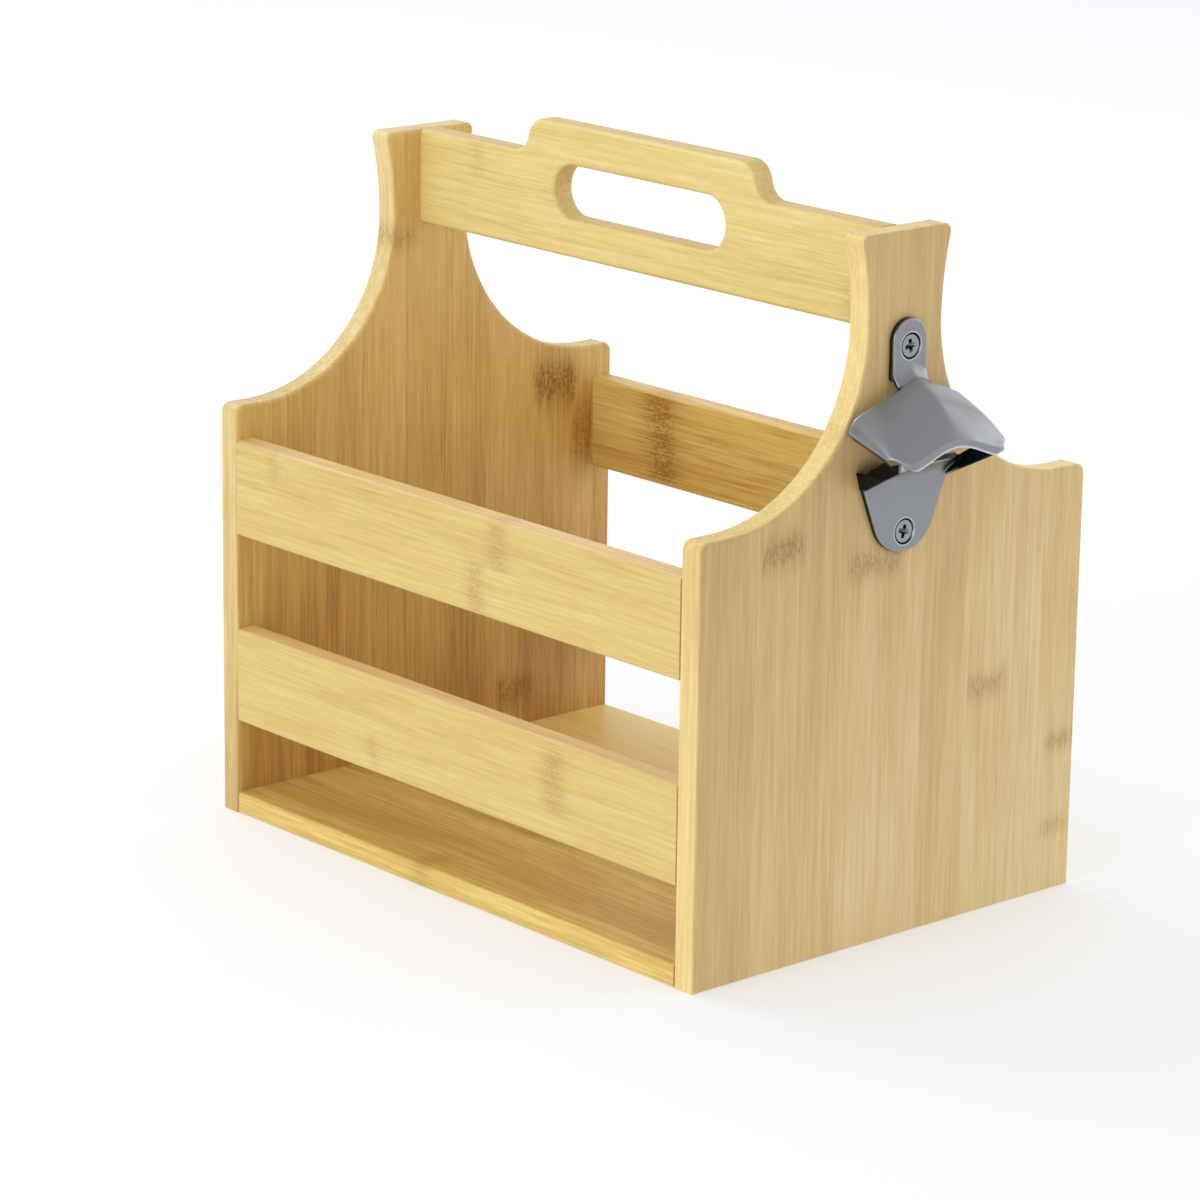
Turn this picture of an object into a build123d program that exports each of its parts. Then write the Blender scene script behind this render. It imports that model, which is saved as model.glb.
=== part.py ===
"""Bottle caddy: a six-bottle carrier in bamboo board with a cast opener on one end.

Millimetres. X runs along the carrier, +X to the end with the opener. Y runs from the front
slats (-Y) to the back slats (+Y). Z is up. The origin is the centre of the underside.
"""
from build123d import *
import math
import os

# Overall sizes of the carrier
carrier_length = 285.0
carrier_depth = 199.0
cut_overrun = 2.0

# End panels
panel_thickness = 10.5
shoulder_height = 170.0
shoulder_ledge = 12.5
shoulder_corner_radius = 4.0
sweep_height = 68.0
neck_width = 38.0
flare_height = 34.0
panel_top_width = 47.0
panel_top_corner_radius = 3.0
panel_edge_rounding = 1.4

# Slats, two in front and two behind
slat_thickness = 10.0
slat_width = 39.0
lower_slat_height = 39.0
upper_slat_drop = 14.0
slat_edge_rounding = 1.6

# Base board
base_thickness = 9.0
base_edge_rounding = 1.2

# Handle board
handle_thickness = 10.5
handle_width = 38.5
grip_rise = 14.0
grip_flat_length = 114.0
grip_crest_radius = 9.0
grip_foot_radius = 8.0
finger_slot_length = 98.4
finger_slot_width = 21.0
finger_slot_rise = 26.0
handle_edge_rounding = 2.0

# Glued dowels between every board end and its panel
dowel_diameter = 6.0
dowel_length = 20.0
dowel_depth_in_panel = 6.8
dowel_chamfer = 0.6
dowel_end_gap = 0.3
glue_gap = 0.1
slat_dowel_spacing = 20.0
handle_dowel_spacing = 20.0
base_dowel_spacing = 70.0

# Opener: its upper screw is opener_drop below the handle board. The other heights are above its
# lower screw, and reaches are out from the panel's face
opener_drop = 4.1
screw_spacing = 70.0
tab_width = 17.0
tab_thickness = 3.0
tab_top_above_screw = 10.4
tab_edge_rounding = 0.8
neck_ridge_width = 16.0
neck_ridge_top = 63.0
neck_ridge_end_height = 52.6
neck_ridge_end_width = 13.0
neck_ridge_depth = 4.2
neck_ridge_reach = 15.5
neck_ridge_rounding = 2.5
hood_width = 58.6
hood_reach = 28.5
hood_stand_off = 1.2
hood_wall = 2.8
hood_plan_radius = 5.0
hood_edge_drop = 0.8
hood_back_reach = 9.2
dome_height = 57.6
rim_crown_height = 37.6
rim_corner_height = 31.2
wing_corner_height = 41.2
tongue_thickness = 2.5
tongue_radius = 15.2
tongue_centre_height = 7.2
tongue_corner_half_width = 20.6
tongue_corner_height = 20.6
horn_start_height = 17.5
horn_top_height = 33.2
horn_reach = 29.0
horn_half_width = 28.3
lip_height = 23.0

# Wood screws of the opener
screw_length = 12.0
screw_diameter = 3.8
screw_core_diameter = 2.6
screw_head_diameter = 8.6
screw_plain_length = 1.2
screw_thread_pitch = 1.6
screw_point_length = 2.6
screw_gap = 0.25
countersink_diameter = 9.4
screw_clearance_diameter = 4.4
head_seat_gap = 0.1
recess_span = 4.8
recess_slot_width = 1.15
recess_depth = 1.9
recess_tip_span = 1.6
upper_recess_turn = 8.0
lower_recess_turn = -14.0
screw_thread_count = 4

# Shape of the hood: dome line from the panel to past the rim, as (reach share, height share)
dome_line_shares = (
    (-0.1, 1.0), (0.12, 1.0), (0.29, 0.98), (0.54, 0.78), (0.77, 0.46), (1.0, 0.0), (1.1, -0.23),
)
back_edge_power_share = 6.0
across_shares = (
    -1.0, -0.975, -0.92, -0.82, -0.66, -0.45, -0.2, 0.0, 0.2, 0.45, 0.66, 0.82, 0.92, 0.975, 1.0,
)
gable_share = 0.32
gable_softness_share = 0.12
side_power_share = 7.0
rim_blend_power_share = 3.0
horn_level_shares = (0.0, 0.25, 0.5, 0.75, 1.0)
horn_across_shares = (-1.0, -0.85, -0.65, -0.4, 0.0, 0.4, 0.65, 0.85, 1.0)
horn_curl_power_share = 3.0
horn_rise_power_share = 0.8
horn_spread_power_share = 0.7
lip_power_share = 8.0

# Places worked out from the sizes above
half_length = carrier_length / 2
half_depth = carrier_depth / 2
inside_length = carrier_length - 2 * panel_thickness
half_inside = inside_length / 2
sweep_width = half_depth - shoulder_ledge - neck_width / 2
neck_height = shoulder_height + sweep_height
panel_height = neck_height + flare_height
slat_centre_depth = half_depth - slat_thickness / 2
upper_slat_height = shoulder_height - upper_slat_drop - slat_width
grip_height = panel_height + grip_rise
handle_underside_height = panel_height - handle_width
finger_slot_height = handle_underside_height + finger_slot_rise
lower_screw_height = handle_underside_height - opener_drop - screw_spacing
dowel_depth_in_board = dowel_length - dowel_depth_in_panel
head_sink = (countersink_diameter - screw_head_diameter) / 2 - head_seat_gap

# Each screw's height above the ground and the thickness of metal under its head
SCREW_SEATS = {
    "upper": (lower_screw_height + screw_spacing, tab_thickness),
    "lower": (lower_screw_height, tongue_thickness),
}

# For each board: depth, height, step from dowel to dowel in depth and height, number of dowels
BOARD_DOWELS = {
    "front_upper": (-slat_centre_depth, upper_slat_height + slat_width / 2, (0, slat_dowel_spacing), 2),
    "front_lower": (-slat_centre_depth, lower_slat_height + slat_width / 2, (0, slat_dowel_spacing), 2),
    "back_upper": (slat_centre_depth, upper_slat_height + slat_width / 2, (0, slat_dowel_spacing), 2),
    "back_lower": (slat_centre_depth, lower_slat_height + slat_width / 2, (0, slat_dowel_spacing), 2),
    "base": (0, base_thickness / 2, (base_dowel_spacing, 0), 3),
    "handle": (0, (handle_underside_height + panel_height) / 2, (0, handle_dowel_spacing), 2),
}


def dowel_places(board):
    """Depth and height of each dowel of one board, evenly spaced about the board's centre."""
    depth, height, step, count = BOARD_DOWELS[board]
    offsets = [index - (count - 1) / 2 for index in range(count)]
    return [(depth + step[0] * offset, height + step[1] * offset) for offset in offsets]


def dowel_holes(board, side, depth_in_panel, depth_in_board):
    """Round bars that cut the holes of one board end: side is 1 for the right end, -1 for the left."""
    span = depth_in_panel + depth_in_board
    centre = side * (half_inside + (depth_in_panel - depth_in_board) / 2)
    bar = Cylinder(dowel_diameter / 2 + glue_gap, span, rotation=(0, 90, 0))
    return [Pos(centre, depth, height) * bar for depth, height in dowel_places(board)]


def drill(solid, boards, sides):
    """Cut the dowel holes of the named boards into a solid."""
    for board in boards:
        for side in sides:
            for hole in dowel_holes(board, side, dowel_depth_in_panel + dowel_end_gap,
                                    dowel_depth_in_board + dowel_end_gap):
                solid = solid - hole
    return solid


def dowel_group(board, side):
    """The dowels at one end of one board, with chamfered ends."""
    centre = side * (half_inside + (dowel_depth_in_panel - dowel_depth_in_board) / 2)
    dowel = Cylinder(dowel_diameter / 2, dowel_length, rotation=(0, 90, 0))
    dowel = chamfer(dowel.edges().filter_by(GeomType.CIRCLE), dowel_chamfer)
    return Compound(children=[Pos(centre, depth, height) * dowel for depth, height in dowel_places(board)])


def end_panel_outline():
    """Half outline in Y and Z: straight edge, shoulder, concave sweep to the neck, flare to the top."""
    flare_spread = (panel_top_width - neck_width) / 2
    flare_radius = (flare_spread ** 2 + flare_height ** 2) / (2 * flare_spread)
    flare_angle = math.degrees(math.asin(flare_height / flare_radius))
    corner = (half_depth - shoulder_corner_radius, shoulder_height - shoulder_corner_radius)
    with BuildSketch(Plane.YZ) as outline:
        with BuildLine():
            Line((0, 0), (half_depth, 0))
            Line((half_depth, 0), (half_depth, corner[1]))
            CenterArc(corner, shoulder_corner_radius, 0, 90)
            sweep_centre = (neck_width / 2 + sweep_width, neck_height)
            Line((corner[0], shoulder_height), (sweep_centre[0], shoulder_height))
            EllipticalCenterArc(sweep_centre, sweep_width, sweep_height, 180, arc_size=90)
            flare_centre = (neck_width / 2 + flare_radius, neck_height)
            CenterArc(flare_centre, flare_radius, 180 - flare_angle, flare_angle)
            Line((panel_top_width / 2, panel_height), (0, panel_height))
            mirror(about=Plane.YZ)
        make_face()
        fillet(outline.vertices().group_by(Axis.Y)[-1], panel_top_corner_radius)
    return outline.sketch


def end_panel(side):
    """One end panel, with its edges rounded and its dowel holes drilled from the inside."""
    inner_face = half_inside if side > 0 else -half_length
    panel = Pos(inner_face, 0, 0) * extrude(end_panel_outline(), panel_thickness)
    face_edges = panel.faces().filter_by(Axis.X).edges()
    panel = fillet(face_edges, panel_edge_rounding)
    return drill(panel, BOARD_DOWELS, (side,))


def end_panel_with_pilot_holes():
    """The right panel also has a blind hole for each screw of the opener."""
    panel = end_panel(1)
    for height, metal in SCREW_SEATS.values():
        depth = screw_length - metal + head_sink + screw_gap
        bore = Cylinder(screw_diameter / 2 + screw_gap, depth + cut_overrun, rotation=(0, 90, 0))
        panel = panel - Pos(half_length - (depth - cut_overrun) / 2, 0, height) * bore
    return panel


def slat(board, side_sign, underside):
    """One slat between the panels, its four long edges rounded."""
    bar = Box(inside_length, slat_thickness, slat_width)
    bar = fillet(bar.edges().filter_by(Axis.X), slat_edge_rounding)
    bar = Pos(0, side_sign * slat_centre_depth, underside + slat_width / 2) * bar
    return drill(bar, (board,), (-1, 1))


def base_board():
    """The board that the bottles stand on, between the panels."""
    board = Box(inside_length, carrier_depth, base_thickness)
    board = fillet(board.edges().filter_by(Axis.X), base_edge_rounding)
    return drill(Pos(0, 0, base_thickness / 2) * board, ("base",), (-1, 1))


def handle_board():
    """Board down the middle: straight underside, raised grip with eased shoulders, finger slot."""
    crest_end = grip_flat_length / 2
    radii = grip_crest_radius + grip_foot_radius
    foot_end = crest_end + math.sqrt(radii ** 2 - (radii - grip_rise) ** 2)
    turn = math.degrees(math.asin((radii - grip_rise) / radii))
    crest_centre = (crest_end, grip_height - grip_crest_radius)
    foot_centre = (foot_end, panel_height + grip_foot_radius)
    with BuildSketch(Plane.XZ) as outline:
        with BuildLine():
            Line((0, handle_underside_height), (half_inside, handle_underside_height))
            Line((half_inside, handle_underside_height), (half_inside, panel_height))
            Line((half_inside, panel_height), (foot_end, panel_height))
            CenterArc(foot_centre, grip_foot_radius, 180 + turn, 90 - turn)
            CenterArc(crest_centre, grip_crest_radius, turn, 90 - turn)
            Line((crest_end, grip_height), (0, grip_height))
            mirror(about=Plane.YZ)
        make_face()
        with Locations((0, finger_slot_height)):
            SlotOverall(finger_slot_length, finger_slot_width, mode=Mode.SUBTRACT)
    board = extrude(outline.sketch, handle_thickness / 2, both=True)
    ends = board.faces().filter_by(Axis.X).edges()
    rounded = [edge for edge in board.faces().filter_by(Axis.Y).edges() if edge not in ends]
    board = fillet(rounded, handle_edge_rounding)
    return drill(board, ("handle",), (-1, 1))


def opener_plane():
    """Plane on the panel's face at the lower screw: its x is Y, its y is Z, its normal is +X."""
    return Plane(origin=(half_length, 0, lower_screw_height), x_dir=(0, 1, 0), z_dir=(1, 0, 0))


def across_drop(share, rimness):
    """How far the hood falls from its ridge to its side at a share of its half width: near the
    panel a soft gable that turns down at the sides, at the rim a cosine arch."""
    across = abs(share)
    gable = math.sqrt(across ** 2 + gable_softness_share ** 2) - gable_softness_share
    gable = gable_share * gable / (math.sqrt(1 + gable_softness_share ** 2) - gable_softness_share)
    side = (1 - gable_share) * (1 - math.sqrt(1 - across ** side_power_share))
    at_rim = (1 - math.cos(math.pi * across)) / 2
    return (gable + side) * (1 - rimness) + at_rim * rimness


def hood_section(reach_share, height_share, inset, foot_drop):
    """Closed section of the hood parallel to the panel; inset moves it inwards by the wall."""
    reach = hood_stand_off + (hood_reach - hood_stand_off) * reach_share
    ridge = rim_crown_height + (dome_height - rim_crown_height) * height_share - inset
    side = wing_corner_height + (rim_corner_height - wing_corner_height) * reach_share
    half = hood_width / 2 - inset
    rimness = min(max(reach_share, 0), 1) ** rim_blend_power_share
    top = [(half * share, ridge - (ridge - side) * across_drop(share, rimness)) for share in across_shares]
    foot = side - foot_drop
    with BuildSketch(opener_plane().offset(reach)) as section:
        with BuildLine():
            Spline(*top)
            Polyline(top[-1], (half, foot), (-half, foot), top[0])
        make_face()
    return section.sketch.faces()[0]


def plan_block():
    """Upright block over the opener's plan, from the panel's face to the rim, front corners rounded."""
    with BuildSketch(Plane.XY) as plan:
        with Locations((half_length + hood_reach / 2, 0)):
            Rectangle(hood_reach, hood_width)
        fillet(plan.vertices().group_by(Axis.X)[-1], hood_plan_radius)
    return extrude(plan.sketch, lower_screw_height + screw_spacing)


def back_block():
    """Upright block that frees the hood from the panel: its front face bows out between the wings."""
    edge = []
    for share in across_shares:
        bow = (hood_back_reach - hood_stand_off) * (1 - abs(share) ** back_edge_power_share)
        edge.append((half_length + hood_stand_off + bow, share * hood_width / 2))
    behind = half_length - cut_overrun
    with BuildSketch(Plane.XY) as plan:
        with BuildLine():
            Spline(*edge)
            Polyline(edge[-1], (behind, edge[-1][1]), (behind, edge[0][1]), edge[0])
        make_face()
    return extrude(plan.sketch, lower_screw_height + screw_spacing)


def hood_form(inset, foot_drop):
    """Solid form under the hood's surface, down to foot_drop below its side edges."""
    return loft([hood_section(reach, height, inset, foot_drop) for reach, height in dome_line_shares])


def hood():
    """The hood: an outer form less an inner one, open below, behind and in front."""
    shell = hood_form(0, hood_edge_drop) - hood_form(hood_wall, hood_edge_drop + cut_overrun)
    return (shell & plan_block()) - back_block()


def neck_ridge():
    """Ridge that slopes from the tab down into the hood and narrows, its two long edges rounded."""
    foot = neck_ridge_top - neck_ridge_depth
    profile = (
        (0, foot),
        (0, neck_ridge_top),
        (tab_thickness, neck_ridge_top),
        (neck_ridge_reach, neck_ridge_end_height),
        (neck_ridge_reach, neck_ridge_end_height - hood_wall),
        (tab_thickness, foot),
    )
    with BuildSketch(Plane.XZ) as outline:
        with BuildLine():
            points = [(half_length + reach, lower_screw_height + height) for reach, height in profile]
            Polyline(*points, close=True)
        make_face()
    with BuildSketch(Plane.XY) as plan:
        with BuildLine():
            corners = (
                (half_length, neck_ridge_width / 2),
                (half_length + tab_thickness, neck_ridge_width / 2),
                (half_length + neck_ridge_reach, neck_ridge_end_width / 2),
            )
            Polyline(*corners, *[(x, -y) for x, y in reversed(corners)], close=True)
        make_face()
    ridge = extrude(outline.sketch, neck_ridge_width, both=True)
    ridge = ridge & extrude(plan.sketch, lower_screw_height + screw_spacing)
    sloping = ridge.faces().filter_by(Axis.X, reverse=True).filter_by(Axis.Z, reverse=True)
    top = sloping.filter_by(Axis.Y, reverse=True).sort_by(Axis.Z)[-1]
    return fillet(top.edges().filter_by(Axis.Y, reverse=True), neck_ridge_rounding)


def tab():
    """Round-topped tab that takes the upper screw."""
    foot = neck_ridge_top - neck_ridge_depth
    arc_height = screw_spacing + tab_top_above_screw - tab_width / 2
    with BuildSketch(opener_plane()) as outline:
        with BuildLine():
            Line((-tab_width / 2, foot), (tab_width / 2, foot))
            Line((tab_width / 2, foot), (tab_width / 2, arc_height))
            CenterArc((0, arc_height), tab_width / 2, 0, 180)
            Line((-tab_width / 2, arc_height), (-tab_width / 2, foot))
        make_face()
    plate = extrude(outline.sketch, tab_thickness)
    return fillet(plate.faces().sort_by(Axis.X)[-1].edges(), tab_edge_rounding)


def tongue_side():
    """Where the tongue's straight side leaves its round end, and its half width at the horns."""
    rise = tongue_corner_height - tongue_centre_height
    span = math.hypot(tongue_corner_half_width, rise)
    angle = math.atan2(rise, tongue_corner_half_width) - math.acos(tongue_radius / span)
    start = (tongue_radius * math.cos(angle), tongue_centre_height + tongue_radius * math.sin(angle))
    climb = (horn_start_height - start[1]) / (tongue_corner_height - start[1])
    half_width = start[0] + (tongue_corner_half_width - start[0]) * climb
    return math.degrees(angle), start, half_width


def tongue():
    """Flat tongue below the horns: a round end with straight sides that spread upwards."""
    angle, start, half_width = tongue_side()
    with BuildSketch(opener_plane()) as outline:
        with BuildLine():
            Line((-half_width, horn_start_height), (half_width, horn_start_height))
            Line((half_width, horn_start_height), start)
            CenterArc((0, tongue_centre_height), tongue_radius, angle, -180 - 2 * angle)
            Line((-start[0], start[1]), (-half_width, horn_start_height))
        make_face()
    return extrude(outline.sketch, tongue_thickness)


def horn_section(level_share):
    """Band across the opener at one level: flat at the tongue, its ends curled out to the rim."""
    start_width = tongue_side()[2]
    half_width = start_width + (horn_half_width - start_width) * level_share ** horn_spread_power_share
    reach = horn_reach * level_share ** horn_rise_power_share
    front = []
    back = []
    for share in horn_across_shares:
        across = abs(share)
        slope = math.copysign(horn_curl_power_share * reach / half_width, share)
        slope = slope * across ** (horn_curl_power_share - 1)
        out = half_length + tongue_thickness / 2 + reach * across ** horn_curl_power_share
        normal = (math.cos(math.atan(slope)), -math.sin(math.atan(slope)))
        side = half_width * share
        front.append((out + normal[0] * tongue_thickness / 2, side + normal[1] * tongue_thickness / 2))
        back.append((out - normal[0] * tongue_thickness / 2, side - normal[1] * tongue_thickness / 2))
    rise = (horn_top_height - horn_start_height) * level_share
    with BuildSketch(Plane.XY.offset(lower_screw_height + horn_start_height + rise)) as section:
        with BuildLine():
            Spline(*front)
            Line(front[-1], back[-1])
            Spline(*reversed(back))
            Line(back[0], front[0])
        make_face()
    return section.sketch.faces()[0]


def horns():
    """The two horns that carry the hood's corners, with the hollow lip that catches a cap between."""
    band = loft([horn_section(level) for level in horn_level_shares])
    lip = []
    for share in across_shares:
        rise = (horn_top_height - lip_height) * abs(share) ** lip_power_share
        lip.append((share * horn_half_width, lip_height + rise))
    with BuildSketch(opener_plane()) as hollow:
        with BuildLine():
            Spline(*lip)
            top = horn_top_height + cut_overrun
            Polyline(lip[-1], (lip[-1][0], top), (lip[0][0], top), lip[0])
        make_face()
    band = band - extrude(hollow.sketch, hood_reach + cut_overrun)
    return band & plan_block() & hood_form(0, horn_top_height)


def screw_hole(metal):
    """Countersunk hole with its mouth at the origin, running down -Z through the metal."""
    sink = (countersink_diameter - screw_clearance_diameter) / 2
    cone = Cone(screw_clearance_diameter / 2, countersink_diameter / 2, sink)
    bore = Cylinder(screw_clearance_diameter / 2, metal + 2 * cut_overrun)
    mouth = Cylinder(countersink_diameter / 2, cut_overrun)
    cone = Pos(0, 0, -sink / 2) * cone
    bore = Pos(0, 0, -metal / 2) * bore
    return cone + bore + Pos(0, 0, cut_overrun / 2) * mouth


def bottle_opener():
    """The whole casting: tab, neck, hood, horns and tongue, with its two countersunk holes."""
    body = tab() + neck_ridge() + hood() + horns() + tongue()
    for height, metal in SCREW_SEATS.values():
        seat = opener_plane().offset(metal).location * Pos(0, height - lower_screw_height, 0)
        body = body - seat * screw_hole(metal)
    return body


def wood_screw(name, turn):
    """Countersunk wood screw: head and threaded shank turned from one profile, tapered cross recess."""
    head_depth = (screw_head_diameter - screw_diameter) / 2
    profile = [(0, 0), (screw_head_diameter / 2, 0), (screw_diameter / 2, -head_depth)]
    thread_start = -head_depth - screw_plain_length
    for index in range(screw_thread_count):
        crest = thread_start - screw_thread_pitch * index
        profile.append((screw_diameter / 2, crest))
        profile.append((screw_core_diameter / 2, crest - screw_thread_pitch / 2))
    profile.append((screw_core_diameter / 2, screw_point_length - screw_length))
    profile.append((0, -screw_length))
    with BuildSketch(Plane.XZ) as half:
        with BuildLine():
            Polyline(*profile, close=True)
        make_face()
    screw = revolve(half.sketch, Axis.Z)
    slot = Box(recess_span, recess_slot_width, recess_depth)
    recess = (slot + Rot(0, 0, 90) * slot) & Cone(recess_tip_span / 2, recess_span / 2, recess_depth)
    screw = screw - Pos(0, 0, -recess_depth / 2) * recess
    height, metal = SCREW_SEATS[name]
    seat = opener_plane().offset(metal - head_sink).location * Pos(0, height - lower_screw_height, 0)
    return seat * Rot(0, 0, turn) * screw


def build_parts():
    """Every piece of the carrier under its own name."""
    parts = {
        "end_panel_left": end_panel(-1),
        "end_panel_right": end_panel_with_pilot_holes(),
        "front_upper_slat": slat("front_upper", -1, upper_slat_height),
        "front_lower_slat": slat("front_lower", -1, lower_slat_height),
        "back_upper_slat": slat("back_upper", 1, upper_slat_height),
        "back_lower_slat": slat("back_lower", 1, lower_slat_height),
        "base_board": base_board(),
        "handle_board": handle_board(),
        "bottle_opener": bottle_opener(),
        "opener_screw_upper": wood_screw("upper", upper_recess_turn),
        "opener_screw_lower": wood_screw("lower", lower_recess_turn),
    }
    for board in BOARD_DOWELS:
        parts[f"dowels_{board}_left"] = dowel_group(board, -1)
        parts[f"dowels_{board}_right"] = dowel_group(board, 1)
    return parts


os.makedirs("parts", exist_ok=True)
for node_name, shape in build_parts().items():
    export_step(shape, f"parts/{node_name}.step")
    print(node_name, round(shape.volume, 1), "mm3", shape.is_valid)
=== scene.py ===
import math

import bmesh
import bpy
import numpy as np
from mathutils import Matrix, Vector


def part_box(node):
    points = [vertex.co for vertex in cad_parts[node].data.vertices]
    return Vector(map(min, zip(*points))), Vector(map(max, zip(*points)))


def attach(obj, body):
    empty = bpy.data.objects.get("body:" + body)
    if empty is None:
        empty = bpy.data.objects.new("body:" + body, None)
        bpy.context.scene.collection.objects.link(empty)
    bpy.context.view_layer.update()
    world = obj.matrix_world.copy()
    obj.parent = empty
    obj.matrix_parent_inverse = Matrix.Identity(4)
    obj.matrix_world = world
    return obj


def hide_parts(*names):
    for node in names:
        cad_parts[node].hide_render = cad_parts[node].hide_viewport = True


# Bottle caddy: bamboo boards from the frame, with a cast opener, screws and finishes made here.
# Metres, +X to the end with the opener, -Y to the front slats, +Z up.

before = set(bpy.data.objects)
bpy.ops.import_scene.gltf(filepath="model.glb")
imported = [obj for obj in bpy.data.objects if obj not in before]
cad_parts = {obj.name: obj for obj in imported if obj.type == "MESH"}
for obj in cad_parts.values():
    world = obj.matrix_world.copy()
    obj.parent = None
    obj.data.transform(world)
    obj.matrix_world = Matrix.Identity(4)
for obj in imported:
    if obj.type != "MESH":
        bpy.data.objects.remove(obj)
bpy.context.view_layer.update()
mm = 0.001
scene = bpy.context.scene


# Colour, node and material helpers

def paint(hexColour):                     # sRGB hex to the linear colour that shaders take
    channels = [int(hexColour[i:i + 2], 16) / 255 for i in (1, 3, 5)]
    return [c / 12.92 if c <= 0.04045 else ((c + 0.055) / 1.055) ** 2.4 for c in channels] + [1.0]


def addNode(tree, kind, inputs=None, **settings):
    # One shader node with its settings. What goes into an input is a plain value, a socket, or a
    # node, which stands for the first of its outputs that is in use
    node = tree.nodes.new("ShaderNode" + kind)
    for key, value in settings.items():
        setattr(node, key, value)
    for key, value in (inputs or {}).items():
        if isinstance(value, bpy.types.Node):
            value = next(socket for socket in value.outputs if socket.enabled)
        if isinstance(value, bpy.types.NodeSocket):
            tree.links.new(value, node.inputs[key])
        else:
            node.inputs[key].default_value = value
    return node


def newMaterial(name):
    material = bpy.data.materials.new(name)
    material.use_nodes = True
    material.node_tree.nodes.clear()
    return material, material.node_tree


# Camera: where the photograph was taken from

cameraView = {
    "spot": (1.29661, -1.16442, 0.58451),
    "heading": 48.44,                     # degrees from +Y towards -X
    "pitch": -15.476,
    "roll": 0.825,
    "lens": 137.34,
    "sensor": 36.0,                       # mm, the width of picture that the lens length is for
    "shift": (-0.01035, -0.00113),
    "clip": (0.05, 30.0),
}


def makeCamera(view):
    heading, pitch, roll = (math.radians(view[key]) for key in ("heading", "pitch", "roll"))
    level = Vector((-math.sin(heading), math.cos(heading), 0))
    right = Vector((math.cos(heading), math.sin(heading), 0))
    forward = level * math.cos(pitch) + Vector((0, 0, math.sin(pitch)))
    up = right.cross(forward)
    turnedRight = right * math.cos(roll) + up * math.sin(roll)
    turnedUp = up * math.cos(roll) - right * math.sin(roll)
    data = bpy.data.cameras.new("camera")
    data.lens = view["lens"]
    data.sensor_width = view["sensor"]
    data.sensor_fit = "HORIZONTAL"
    data.shift_x, data.shift_y = view["shift"]
    data.clip_start, data.clip_end = view["clip"]
    camera = bpy.data.objects.new("camera", data)
    camera.matrix_world = Matrix((turnedRight, turnedUp, -forward)).transposed().to_4x4()
    camera.location = view["spot"]
    scene.collection.objects.link(camera)
    scene.camera = camera


makeCamera(cameraView)
print("camera placed")


# Studio: a pale floor that glows a little, a dome that is brightest at the horizon behind (+Y), and
# wide soft lights in front, to the left and, weakly, behind

studio = {
    "floor": "#DADCE0",
    "floorHalf": 6.0,                     # metres
    "floorRoughness": 0.9,
    "floorGlow": 0.288,
    "horizonFront": 0.53,
    "horizonBack": 1.14,
    "horizonSpan": 0.7,                   # share of the way to the front and back where these hold
    "zenith": 0.77,
    "zenithRise": 0.8,                    # share of the way up where the zenith's strength is reached
    "lights": {
        # name: (spot, target, width, power in watts)
        "frontLight": ((0.2, -2.4, 0.9), (0, 0, 0.12), 1.6, 19.3),
        "leftLight": ((-2.2, -0.2, 1.5), (0, 0, 0.12), 2.0, 19.0),
        "backLight": ((0.4, 2.4, 0.7), (0, 0, 0.12), 1.6, 6.0),
    },
}


def makeStudio(look):
    half = look["floorHalf"]
    mesh = bpy.data.meshes.new("floor")
    mesh.from_pydata([(-half, -half, 0), (half, -half, 0), (half, half, 0), (-half, half, 0)], [],
                     [(0, 1, 2, 3)])
    floor = bpy.data.objects.new("floor", mesh)
    scene.collection.objects.link(floor)
    material, tree = newMaterial("studioFloor")
    shader = addNode(tree, "BsdfPrincipled", {
        "Base Color": paint(look["floor"]), "Roughness": look["floorRoughness"],
        "Emission Color": (1, 1, 1, 1), "Emission Strength": look["floorGlow"]})
    addNode(tree, "OutputMaterial", {"Surface": shader})
    mesh.materials.append(material)

    world = bpy.data.worlds.new("studio")
    scene.world = world
    world.use_nodes = True
    tree = world.node_tree
    tree.nodes.clear()
    direction = addNode(tree, "TexCoord")
    parts = addNode(tree, "SeparateXYZ", {0: direction.outputs["Generated"]})
    horizon = addNode(tree, "MapRange", {
        "Value": parts.outputs["Y"], "From Min": -look["horizonSpan"], "From Max": look["horizonSpan"],
        "To Min": look["horizonFront"], "To Max": look["horizonBack"]},
        interpolation_type="SMOOTHSTEP")
    rise = addNode(tree, "MapRange", {
        "Value": parts.outputs["Z"], "From Min": 0.0, "From Max": look["zenithRise"],
        "To Min": horizon, "To Max": look["zenith"]}, interpolation_type="SMOOTHSTEP")
    background = addNode(tree, "Background", {"Color": (1, 1, 1, 1), "Strength": rise})
    addNode(tree, "OutputWorld", {"Surface": background})

    for name, (spot, target, width, power) in look["lights"].items():
        data = bpy.data.lights.new(name, "AREA")
        data.shape = "DISK"
        data.size = width
        data.energy = power
        light = bpy.data.objects.new(name, data)
        light.location = spot
        light.rotation_euler = (Vector(target) - Vector(spot)).to_track_quat("-Z", "Y").to_euler()
        scene.collection.objects.link(light)


makeStudio(studio)
scene.view_settings.view_transform = "Standard"
print("studio lit")


# Bamboo: strips of split culm, glued edge to edge, planed, sanded and sealed with clear satin lacquer.
# Long fibres show as streaks, each strip has its own tone, and where a knuckle of the culm crosses a
# strip the fibres knot into a band of short brown dabs with darker streaks above and below.

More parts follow.
